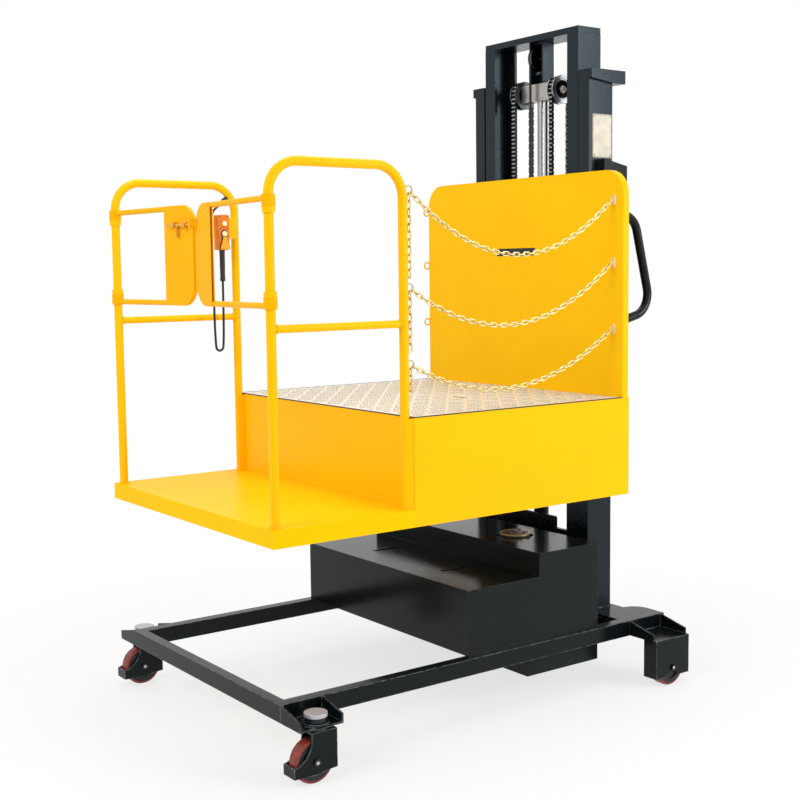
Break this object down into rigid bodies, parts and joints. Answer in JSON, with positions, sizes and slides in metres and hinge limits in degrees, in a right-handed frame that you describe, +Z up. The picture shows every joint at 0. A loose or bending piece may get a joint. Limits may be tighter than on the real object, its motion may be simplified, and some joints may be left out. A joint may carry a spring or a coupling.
{
  "type": "semi-electric order picker",
  "caption": "Order picker with a tall two-stage mast, a lifting platform with step, guards, gates and chains, on a U-shaped base with casters.",
  "frame": {"origin": "on the floor, midway between the outermost points in X and in Y", "axes": "+Z up, -Y towards the step and gate, +Y towards the mast, +X to the chain side"},
  "size_m": [1.352, 1.862, 2.464],
  "materials": {
    "yellow_paint": "gloss yellow paint",
    "charcoal_paint": "satin dark blue-grey paint",
    "tread": "five-bar tread",
    "bare_steel": "bare machined steel",
    "zinc": "galvanised",
    "chain_steel": "oiled dark steel",
    "rod_chrome": "hard chrome",
    "wheel_pu": "red-brown polyurethane on a dark core",
    "battery_case": "moulded case",
    "tank_plastic": "moulded tank",
    "motor_finish": "yellow passivated end cap",
    "hose_rubber": "black rubber",
    "pendant_orange": "orange moulded plastic",
    "button_cream": "cream button",
    "button_dark": "dark button",
    "nylon": "grey nylon"
  },
  "bodies": {
    "base": {"base_frame": "charcoal_paint", "mast_base_plate": "charcoal_paint", "caster_bracket_left": "charcoal_paint", "caster_bracket_right": "charcoal_paint", "rear_wheel_housing_left": "charcoal_paint", "rear_wheel_housing_right": "charcoal_paint", "battery_cover": "charcoal_paint", "belly_pan": "charcoal_paint", "batteries": "battery_case", "pump_motor": "motor_finish", "oil_tank": "tank_plastic", "hydraulic_line": "hose_rubber", "outer_mast_channel_left": "charcoal_paint", "outer_mast_channel_right": "charcoal_paint", "outer_mast_ties": "charcoal_paint", "lift_cylinder": "charcoal_paint", "push_handle_left": "charcoal_paint", "push_handle_right": "charcoal_paint", "rear_axles": "zinc", "bolts": "zinc"},
    "inner_mast": {"inner_mast_channel_left": "charcoal_paint", "inner_mast_channel_right": "charcoal_paint", "inner_mast_ties": "charcoal_paint", "crosshead_hanger": "charcoal_paint", "crosshead": "bare_steel", "piston_rod": "rod_chrome", "lift_chains": "chain_steel", "trailing_cable": "hose_rubber"},
    "platform": {"carriage_frame": "charcoal_paint", "platform_step": "yellow_paint", "deck_box": "yellow_paint", "tread_plate": "tread", "back_plate": "yellow_paint", "guard_rail_left": "yellow_paint", "guard_rail_right": "yellow_paint", "safety_chains": "zinc", "pendant_housing": "pendant_orange", "pendant_boot": "hose_rubber", "pendant_cable": "hose_rubber"},
    "left_gate": {"gate_leaf_left": "yellow_paint", "latch_housing": "zinc"},
    "right_gate": {"gate_leaf_right": "yellow_paint"},
    "gate_bolt": {"latch_bolt": "zinc"},
    "up_button": {"pendant_button_up": "button_cream"},
    "down_button": {"pendant_button_down": "button_dark"},
    "lower_mast_rollers": {"mast_rollers_lower": "bare_steel"},
    "upper_mast_rollers": {"mast_rollers_upper": "bare_steel"},
    "lower_carriage_rollers": {"carriage_rollers_lower": "bare_steel"},
    "upper_carriage_rollers": {"carriage_rollers_upper": "bare_steel"},
    "chain_wheel_pair": {"chain_wheels": "bare_steel"},
    "pulley": {"cable_pulley": "nylon"},
    "left_caster": {"caster_fork_left": "charcoal_paint", "king_pin_left": "zinc"},
    "left_caster_wheel": {"caster_wheel_left": "wheel_pu"},
    "left_rear_wheel": {"rear_wheel_left": "wheel_pu"},
    "right_caster": {"caster_fork_right": "charcoal_paint", "king_pin_right": "zinc"},
    "right_caster_wheel": {"caster_wheel_right": "wheel_pu"},
    "right_rear_wheel": {"rear_wheel_right": "wheel_pu"}
  },
  "joints": [
    {"name": "mast_lift", "type": "slide", "parent": "base", "child": "inner_mast", "axis": [0, 0, 1], "range_m": [-0.16, 1.18], "deforming": ["lift_chains", "trailing_cable"]},
    {"name": "carriage_lift", "type": "slide", "parent": "inner_mast", "child": "platform", "axis": [0, 0, 1], "range_m": [-0.16, 1.18]},
    {"name": "lower_mast_roller_turn", "type": "hinge", "parent": "inner_mast", "child": "lower_mast_rollers", "pos_m": [0, 0.6735, 0.47], "axis": [1, 0, 0], "continuous": true},
    {"name": "upper_mast_roller_turn", "type": "hinge", "parent": "inner_mast", "child": "upper_mast_rollers", "pos_m": [0, 0.6735, 0.9], "axis": [1, 0, 0], "continuous": true},
    {"name": "lower_carriage_roller_turn", "type": "hinge", "parent": "platform", "child": "lower_carriage_rollers", "pos_m": [0, 0.6735, 0.815], "axis": [1, 0, 0], "continuous": true},
    {"name": "upper_carriage_roller_turn", "type": "hinge", "parent": "platform", "child": "upper_carriage_rollers", "pos_m": [0, 0.6735, 1.155], "axis": [1, 0, 0], "continuous": true},
    {"name": "chain_wheel_turn", "type": "hinge", "parent": "inner_mast", "child": "chain_wheel_pair", "pos_m": [0, 0.6735, 2.249], "axis": [1, 0, 0], "continuous": true},
    {"name": "pulley_turn", "type": "hinge", "parent": "inner_mast", "child": "pulley", "pos_m": [-0.015, 0.6735, 2.381], "axis": [1, 0, 0], "continuous": true},
    {"name": "left_caster_swivel", "type": "hinge", "parent": "base", "child": "left_caster", "pos_m": [-0.609, -0.815, 0.164], "axis": [0, 0, 1], "continuous": true},
    {"name": "left_caster_roll", "type": "hinge", "parent": "left_caster", "child": "left_caster_wheel", "pos_m": [-0.609, -0.833, 0.07], "axis": [1, 0, 0], "continuous": true},
    {"name": "left_rear_roll", "type": "hinge", "parent": "base", "child": "left_rear_wheel", "pos_m": [-0.638, 0.721, 0.07], "axis": [1, 0, 0], "continuous": true},
    {"name": "right_caster_swivel", "type": "hinge", "parent": "base", "child": "right_caster", "pos_m": [0.609, -0.815, 0.164], "axis": [0, 0, 1], "continuous": true},
    {"name": "right_caster_roll", "type": "hinge", "parent": "right_caster", "child": "right_caster_wheel", "pos_m": [0.609, -0.833, 0.07], "axis": [1, 0, 0], "continuous": true},
    {"name": "right_rear_roll", "type": "hinge", "parent": "base", "child": "right_rear_wheel", "pos_m": [0.638, 0.721, 0.07], "axis": [1, 0, 0], "continuous": true},
    {"name": "left_gate_hinge", "type": "hinge", "parent": "platform", "child": "left_gate", "pos_m": [-0.545, -0.905, 1.456], "axis": [0, 0, 1], "range_deg": [-5, 70]},
    {"name": "right_gate_hinge", "type": "hinge", "parent": "platform", "child": "right_gate", "pos_m": [0.545, -0.905, 1.456], "axis": [0, 0, -1], "range_deg": [-5, 75]},
    {"name": "gate_bolt_slide", "type": "slide", "parent": "left_gate", "child": "gate_bolt", "axis": [0.9962, 0.0872, 0], "range_m": [0, 0.036]},
    {"name": "up_button_press", "type": "slide", "parent": "platform", "child": "up_button", "axis": [-1, 0, 0], "range_m": [0, 0.003], "stiffness_N_per_m": 800, "springref_m": -0.002},
    {"name": "down_button_press", "type": "slide", "parent": "platform", "child": "down_button", "axis": [-1, 0, 0], "range_m": [0, 0.003], "stiffness_N_per_m": 800, "springref_m": -0.002}
  ],
  "couplings": [
    {"joint": "carriage_lift", "follows": "mast_lift", "ratio": 1},
    {"joint": "lower_mast_roller_turn", "follows": "mast_lift", "rad_per_m": -20},
    {"joint": "upper_mast_roller_turn", "follows": "mast_lift", "rad_per_m": 20},
    {"joint": "lower_carriage_roller_turn", "follows": "mast_lift", "rad_per_m": -21.505},
    {"joint": "upper_carriage_roller_turn", "follows": "mast_lift", "rad_per_m": 21.505},
    {"joint": "chain_wheel_turn", "follows": "mast_lift", "rad_per_m": -22.222},
    {"joint": "pulley_turn", "follows": "mast_lift", "rad_per_m": -23.256}
  ]
}
